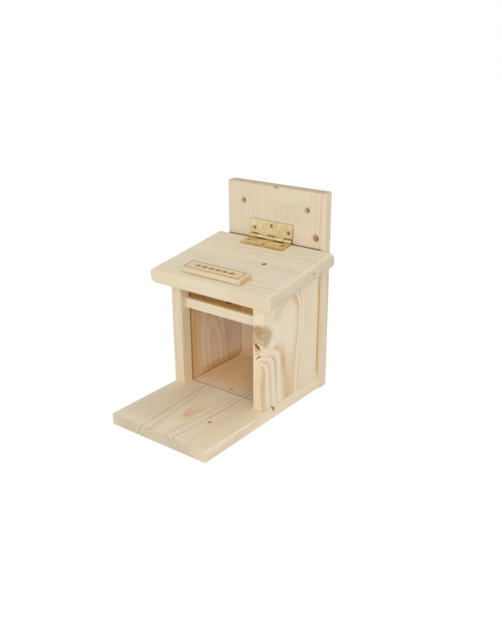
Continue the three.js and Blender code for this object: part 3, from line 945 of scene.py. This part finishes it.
plaque = {
    "x": (-57.0, 50.0), "y": (-146.36, -119.86), "z": (-3.0, 4.0), "step": 0.3, "round": 0.8,
    "line": 0.62, "depth": 0.4, "border": (-54.2, 43.0, -141.2, -121.8), "burn": 0.95,
}
plaqueWood = {
    "axes": [lidAxes[1], lidAxes[2], alongX], "centre": onLid((-3.5, -133.11, 0.5)), "size": (26.5, 7, 107),
    "shift": (0.7, 3.3, 8.8), "bend": 2.0, "wave": 0.8, "pith": (-20.0, -40.0), "lean": (0.01, 0.01),
    "rings": [0, 20, 30, 36, 39, 42, 45, 48, 51, 54, 57, 60, 64, 70],
    "strengths": [0.3, 0.3, 0.35, 0.3, 0.35, 0.25, 0.35, 0.3, 0.3, 0.35, 0.25, 0.35, 0.3, 0.3],
    "pale": (235, 214, 175), "warm": (237, 214, 170), "late": (202, 160, 106), "rubbed": (220, 198, 156),
    "burnt": (112, 72, 36),
    "tintsAndPaintedLight": [
        # painted shade along the foot of the plaque's sides
        lidTintAndPaintedLight((-3.5, -133.11, -3.0), (56, 14.5, 0.9), (176, 118, 76), 0.7, 0.8, kind="MIX"),
        lidTintAndPaintedLight((-3.5, -146.6, 0.5), (56, 0.9, 4.2), (255, 263, 281), 0.2),
        # the plaque's right end darker: the end grain's own tone together with painted shade
        lidTintAndPaintedLight((50.3, -133.11, 0.5), (0.9, 14.5, 4.2), (250, 242, 226), 0.2),
    ],
}


# Distance to a rectangle's outline: with q = |p| - half, outside it is the length of
# max(q, 0) and inside the larger of q, and the outline is where it is zero
def rectangleDistance(x, y, halfX, halfY):
    qx, qy = np.abs(x) - halfX, np.abs(y) - halfY
    return np.abs(np.hypot(np.maximum(qx, 0), np.maximum(qy, 0)) + np.minimum(np.maximum(qx, qy), 0))


# Ornament: a row of lozenges, |x| / a + |y| / b <= 1, with a round dot between each two,
# and the distance is how far outside the nearest of them a place lies
def ornamentDistance(x, y):
    reach, link, a, b, spot, farOff = 36.0, 12.0, 3.9, 2.5, 0.75, 99.0
    inLink = np.abs(np.mod(x, link) - link / 2)
    lozenge = np.maximum(inLink / a + np.abs(y) / b - 1, 0) * a * b / math.hypot(a, b)
    between = np.maximum(np.hypot(inLink - link / 2, y) - spot, 0)
    nearest = np.minimum(np.where(np.abs(x) <= reach, lozenge, farOff), between)
    return np.where(np.abs(x) <= reach + 2 * spot, nearest, farOff)


# The plaque's surface is a grid of heights; its rim drops along a quarter circle, and
# the outermost loop of the grid is carried down to make the sides
def plaqueShape():
    (x0, x1), (y0, y1), (z0, z1) = plaque["x"], plaque["y"], plaque["z"]
    r = plaque["round"]

    def stations(low, high):
        rim = r * (1 - np.cos(np.linspace(0, math.pi / 2, 5)))
        middle = np.linspace(low + r, high - r, int((high - low) / plaque["step"]))[1:-1]
        return np.concatenate([low + rim, middle, (high - rim)[::-1]])

    x, y = np.meshgrid(stations(x0, x1), stations(y0, y1), indexing="ij")
    away = np.minimum(np.minimum(x - x0, x1 - x), np.minimum(y - y0, y1 - y))
    short = np.clip(r - away, 0, r)
    rim = r - np.sqrt(np.maximum(r * r - short * short, 0))
    left, right, front, rear = plaque["border"]
    fromX, fromY = x - (left + right) / 2, y - (front + rear) / 2
    border = rectangleDistance(fromX, fromY, (right - left) / 2, (rear - front) / 2)
    groove = np.minimum(border, ornamentDistance(fromX, fromY))
    t = np.clip((groove - plaque["line"] * 0.5) / (plaque["line"] * 0.9), 0, 1)
    cut = 1 - t * t * (3 - 2 * t)
    points = np.stack([x, y, z1 - rim - plaque["depth"] * cut], -1).reshape(-1, 3)
    first = x.size
    numbers = np.arange(first).reshape(x.shape)
    top = np.stack([numbers[:-1, :-1], numbers[1:, :-1], numbers[1:, 1:], numbers[:-1, 1:]], -1).reshape(-1, 4)
    loop = np.concatenate([numbers[:-1, 0], numbers[-1, :-1], numbers[:0:-1, -1], numbers[0, :0:-1]])
    lower, foot, inset = points[loop], points[loop], 0.4
    lower[:, 2], foot[:, 2] = z0 + inset, z0
    foot[:, :2] = np.clip(foot[:, :2], [x0 + inset, y0 + inset], [x1 - inset, y1 - inset])
    ringOne, ringTwo = first + np.arange(len(loop)), first + len(loop) + np.arange(len(loop))

    def skirt(upper, under):
        return np.stack([np.roll(upper, -1), upper, under, np.roll(under, -1)], -1)

    faces = np.concatenate([top, skirt(loop, ringOne), skirt(ringOne, ringTwo)]).tolist()
    faces.append(ringTwo[::-1].tolist())
    burn = np.concatenate([np.clip(cut * 1.15, 0, 1).ravel(), np.zeros(2 * len(loop))])
    return (np.concatenate([points, lower, foot]), faces), burn


def makePlaque():
    shape, burn = plaqueShape()
    made = objectOf("plaqueBoard", onLidShape(shape))
    addValues(made, "burnt", burn * plaque["burn"])
    finishPiece(made, "lid", "plaque", woodMaterial("plaqueWood", plaqueWood), smoothAngle=50)


# Brass, brushed along the hinge where its noise is stretched

brass = {
    "bright": (240, 224, 184), "deep": (228, 207, 160), "tarnish": (176, 150, 100), "dullShade": (92, 70, 38),
    "spots": 0.3, "roughness": 0.33, "brush": (60.0, 2600.0, 2600.0),
}
oldBrass = {
    **brass, "bright": (196, 170, 112), "deep": (168, 142, 88), "tarnish": (126, 102, 60),
    "spots": 0.6, "roughness": 0.42, "brush": (2600.0, 2600.0, 2600.0),
}


def brassMaterial(name, tone, rim=None):
    material, shader, _ = newMaterial(name)
    coordinate = add("TexCoord").outputs["Object"]
    brushed = noise(stretched(coordinate, tone["brush"]), 1.0, 2.0, 0.6)
    cloud, spots = noise(coordinate, 110.0, 3.0, 0.55), noise(coordinate, 620.0, 3.0, 0.65)
    colour = blend(eased(cloud, 0.35, 0.65), rgb(*tone["bright"]), rgb(*tone["deep"]))
    colour = paint(eased(spots, 0.60, 0.78, 0.0, tone["spots"]), colour, tone["tarnish"])
    # painted shade in recesses: the screws' crosses and, faintly, the hinge's knuckles
    dullShade = attribute("recessShade")
    if rim:  # painted shade on a leaf's cut edges, which are also rougher: the larger of |x| and |y| in half sizes is near one there
        x, y, _ = separate(vectors("ABSOLUTE", spotAt(coordinate, rim)))
        dullShade = maths("MAXIMUM", dullShade, eased(maths("MAXIMUM", x, y), 0.982, 0.996, 0.0, 0.45))
    colour = paint(dullShade, colour, tone["dullShade"])
    rough = timesPlus(dullShade, 0.4, timesPlus(brushed, 0.16, tone["roughness"] - 0.08))
    rough = timesPlus(cloud, 0.10, rough)
    finishShader(shader, colour, rough, timesPlus(cloud, 1.5, brushed), strength=0.25, depth=0.03, Metallic=1.0)
    return material


upperRim = {"at": pinPlace * [1, 0, 1], "size": (39, 26, 26), "turn": (90, 0, 0)}
lowerRim = {"at": onLid(pinPlace * [1, 0, 0]), "size": (39, 26, 26), "turn": (slopeDegrees, 0, 0)}
upperBrass = brassMaterial("upperBrass", brass, upperRim)
lowerBrass = brassMaterial("lowerBrass", {**brass, "bright": (236, 216, 168), "deep": (216, 192, 142)}, lowerRim)
screwBrass = brassMaterial("screwBrass", oldBrass)

# Hinge: two pressed leaves curled round a pin. A leaf's own axes are along the pin,
# away from the pin, and towards the wood

hinge = {
    "length": 78.0, "middle": -4.5, "knuckles": 5, "gap": 0.4, "width": 26.0,
    "barrel": 3.0, "bore": 1.5, "pin": 1.18,
}
knuckleLength, hingeLeft = hinge["length"] / hinge["knuckles"], hinge["middle"] - hinge["length"] / 2
knuckleEnds = hingeLeft + knuckleLength * np.arange(hinge["knuckles"] + 1)


# A curl: the strip's section follows an arc round the pin, inner radius bore and outer
# radius barrel, from the plate round to just short of it, and is carried along the pin
def curlShape(x0, x1):
    turn = np.radians(np.linspace(0, 292, 36))
    arc = np.column_stack([-np.sin(turn), np.cos(turn)])
    barrel, bore = hinge["barrel"], hinge["bore"]
    section = np.concatenate([[(0.5, barrel)], arc * barrel, arc[::-1] * bore, [(0.5, bore)]])
    return placed(flatRings([section, section], (x0, x1)), [alongY, alongZ, alongX])


# A leaf's plate: its outline steps back to clear the other leaf's knuckles
def plateShape(owned, notch):
    room, last = hinge["gap"] / 2, hinge["knuckles"] - 1
    points = []
    for k, (x0, x1) in enumerate(zip(knuckleEnds, knuckleEnds[1:])):
        if k in owned:
            points += [(x0 + room, 0.0), (x1 - room, 0.0)]
        else:
            points += [(x0 - (room if k else 0), notch), (x1 + (room if k < last else 0), notch)]
    points += [(points[-1][0], hinge["width"]), (points[0][0], hinge["width"])]
    return flatRings([points, points], (hinge["bore"], hinge["barrel"]))


def makeLeaf(name, node, body, owned, notch, axes, holes, material):
    made = objectOf(name, placed(plateShape(owned, notch), axes, pinOrigin))
    room = hinge["gap"] / 2
    curls = [placed(curlShape(knuckleEnds[k] + room, knuckleEnds[k + 1] - room), axes, pinOrigin) for k in owned]
    combine(made, together(*curls), "UNION")
    finishPiece(made, body, node, material, cuts=holes, bevel=0.16)
    points = pointsOf(made) - pinOrigin
    onBarrel = np.hypot(points[:, 1], points[:, 2]) < hinge["barrel"] + 0.1
    addValues(made, "recessShade", np.where(onBarrel, 0.1, 0.0))  # the knuckles are a little rougher and carry painted shade that tones down their highlight


def makePin():
    half, r, t = hinge["length"] / 2, hinge["pin"], np.linspace(0, math.pi / 2, 6)
    radius, height = np.maximum(r * np.sin(t), dot), 0.4 * (1 - np.cos(t))
    profile = [*zip(radius, height - half), *zip(radius[::-1], half - height[::-1])]
    shape = placed(turned(profile), [alongY, alongZ, alongX], pinPlace)
    finishPiece(objectOf("hingePin", shape), "housing", "hinge_pin", screwBrass)


# Steel

def steelMaterial(name):
    material, shader, _ = newMaterial(name)
    coordinate = add("TexCoord").outputs["Object"]
    cloud, grit = noise(coordinate, 260.0, 3.0, 0.6), noise(coordinate, 2400.0, 2.0, 0.6)
    colour = blend(eased(cloud, 0.35, 0.65), rgb(190, 188, 180), rgb(168, 164, 152))
    finishShader(shader, colour, timesPlus(grit, 0.22, 0.22), grit, strength=0.3, depth=0.02, Metallic=1.0)
    return material


zincSteel = steelMaterial("zincSteel")


def makeScrews(name, node, body, screw, sites, material):
    shape, cross = screwShape(screw), crossShape(screw)
    for i, (axes, origin) in enumerate(sites, 1):
        made = objectOf(f"{name}{i}", placed(shape, axes, origin))
        finishPiece(made, body, f"{node}_{i}", material, cuts=[placed(cross, axes, origin)])
        markRecessShade(made, screw, axes, origin)


# How deep a point lies in the cross: below the head's face and well inside its cone, it
# is depth / cross depth, and elsewhere nothing
# this depth sets how far painted shade darkens the cross
def markRecessShade(made, screw, axes, origin):
    x, y, z = np.array(axes, float) @ (pointsOf(made) - origin).T
    floor = screw["cross"][2]
    inside = (np.hypot(x, y) < screw["head"] + z - 0.3) & (-z < floor + 0.05)
    addValues(made, "recessShade", np.where(inside, np.clip(-z / floor * 2, 0, 1), 0))


def makeNails():
    length, shank, head, shoulder = nail["length"], nail["shank"], nail["head"], -nail["headHeight"]
    profile = [
        (0.03, 0.02 - length), (shank, nail["tip"] - length), (shank, shoulder), (head - 0.1, shoulder),
        (head, shoulder + 0.12), (head, -0.12), (head - 0.12, 0.0), (0.3, 0.0), (0.25, -0.12), (dot, -0.12),
    ]
    for i, (axes, origin) in enumerate(nailSites, 1):
        made = objectOf(f"railNail{i}", placed(turned(profile, 24), axes, origin))
        finishPiece(made, "housing", f"rail_brad_{i}", zincSteel)


# Window pane: clear plastic with polished edges

pane = {"edge": 0.35, "roughness": 0.008, "ior": 1.49, "clear": (0.99, 0.995, 0.99), "sawnEdgeReflection": (255, 206, 124)}


def paneMaterial():
    material, shader, output = newMaterial("clearPane")
    texture = add("TexCoord")
    smear = noise(texture.outputs["Object"], 14.0, 3.0, 0.5)
    facing = maths("ABSOLUTE", vectors("DOT_PRODUCT", texture.outputs["Normal"], (0.0, 1.0, 0.0)))
    flat = eased(facing, 0.3, 0.8)
    # the edges' ochre colour is a painted reflection of the wood round them
    wire(shader.inputs["Base Color"], blend(flat, rgb(*pane["sawnEdgeReflection"]), (*pane["clear"], 1.0)))
    wire(shader.inputs["Transmission Weight"], timesPlus(flat, 0.98, 0.02))  # sawn edges are milky
    wire(shader.inputs["IOR"], pane["ior"])
    wire(shader.inputs["Roughness"], eased(smear, 0.45, 0.75, pane["roughness"] * 0.4, pane["roughness"] * 1.6))
    through = fill(add("BsdfTransparent"), (0.96, 0.965, 0.96, 1.0))
    shadow = add("LightPath").outputs["Is Shadow Ray"]
    wire(output.inputs["Surface"], fill(add("MixShader"), shadow, shader.outputs[0], through))
    return material


def makePane():
    shape = boxBoard("window_pane", (0, 2, 1), radius=1.0, edge=pane["edge"], steps=5, rimSteps=3)
    finishPiece(objectOf("windowPane", shape), "window", "window_pane", paneMaterial())


makeBase()
makePanel("leftPanel", "left_side_panel", -1, leftWood)
makePanel("rightPanel", "right_side_panel", 1, rightWood)
makeBack()
makeRail()
makeRoof()
makePlaque()
print("boards made")
upperAxes, lowerAxes = [alongX, alongZ, alongY], [alongX, -lidAxes[1], -lidAxes[2]]
makeLeaf("upperLeaf", "hinge_upper_leaf", "housing", [1, 3], 4.7, upperAxes, upperHoles, upperBrass)
makeLeaf("lowerLeaf", "hinge_lower_leaf", "lid", [0, 2, 4], 5.3, lowerAxes, lowerHoles, lowerBrass)
makePin()
makeScrews("upperScrew", "hinge_upper_screw", "housing", hingeScrew, upperSites, screwBrass)
makeScrews("lowerScrew", "hinge_lower_screw", "lid", hingeScrew, lowerSites, screwBrass)
makeScrews("baseScrew", "base_screw", "housing", boardScrew, baseSites, zincSteel)
makeScrews("backScrew", "back_screw", "housing", boardScrew, backSites, zincSteel)
makeNails()
makePane()
print("hinge, fasteners and window made")

# Stage, light and camera

stage = {
    "floorHalf": 6.0, "floorColour": 0.86, "shadowDepth": 0.3, "openFloor": 0.97, "light": 0.70,
    "lampSize": 1.8, "lampPower": 20.0, "lampPlace": (1.35, -1.9, 0.95), "lampAim": (0, 0, 0.12),
}


# White for rays that a viewer, a gloss or a glass sends, and the plain level for the rest
def seenRays():
    rays = add("LightPath").outputs
    seen = maths("MAXIMUM", rays["Is Camera Ray"], rays["Is Glossy Ray"])
    return maths("MAXIMUM", seen, rays["Is Transmission Ray"])


def diffuse(level):
    return fill(add("BsdfDiffuse"), (level, level, level, 1.0))


def makeFloor():
    s = stage["floorHalf"] / mm
    floor = objectOf("studioFloor", ([(-s, -s, 0), (s, -s, 0), (s, s, 0), (-s, s, 0)], [[0, 1, 2, 3]]))
    material = bpy.data.materials.new("paleFloor")
    startTree(material)
    lit = stage["shadowDepth"] * stage["light"] * stage["openFloor"]  # what the open floor gives back
    glow = fill(add("Emission"), Strength=1.0 - lit)
    both = fill(add("AddShader"), diffuse(stage["shadowDepth"]), glow)
    seen = fill(add("MixShader"), seenRays(), diffuse(stage["floorColour"]), both)
    wire(add("OutputMaterial").inputs["Surface"], seen)
    floor.data.materials.append(material)


def makeLight():
    world = bpy.data.worlds.new("whiteStudio")
    bpy.context.scene.world = world
    startTree(world)
    level = eased(seenRays(), 0.0, 1.0, stage["light"], 1.0)
    sky = fill(add("Background"), (1.0, 1.0, 1.0, 1.0), level)
    wire(add("OutputWorld").inputs["Surface"], sky)
    lamp = bpy.data.lights.new("softLamp", "AREA")
    lamp.shape, lamp.size, lamp.energy = "DISK", stage["lampSize"], stage["lampPower"]
    holder = newObject("softLamp", lamp)
    holder.location = stage["lampPlace"]
    aim = Vector(stage["lampAim"]) - holder.location
    holder.rotation_euler = aim.to_track_quat("-Z", "Y").to_euler()


view = {
    "place": (0.6468, -0.7763, 0.5385), "yaw": 37.49, "pitch": 21.92, "roll": 0.31,
    "lens": 42.46, "sensor": 36.0, "near": 0.02, "far": 30.0,
}


def makeCamera():
    lens = bpy.data.cameras.new("camera")
    lens.lens, lens.sensor_width, lens.sensor_fit = view["lens"], view["sensor"], "AUTO"
    lens.clip_start, lens.clip_end = view["near"], view["far"]
    camera = newObject("camera", lens)
    turn = Matrix()
    for degrees, axis in ((view["yaw"], "Z"), (90 - view["pitch"], "X"), (-view["roll"], "Z")):
        turn = turn @ Matrix.Rotation(math.radians(degrees), 4, axis)
    camera.matrix_world = Matrix.Translation(view["place"]) @ turn
    bpy.context.scene.camera = camera


makeFloor()
makeLight()
makeCamera()
bpy.context.scene.view_settings.view_transform = "Standard"
print("stage, light and camera set")
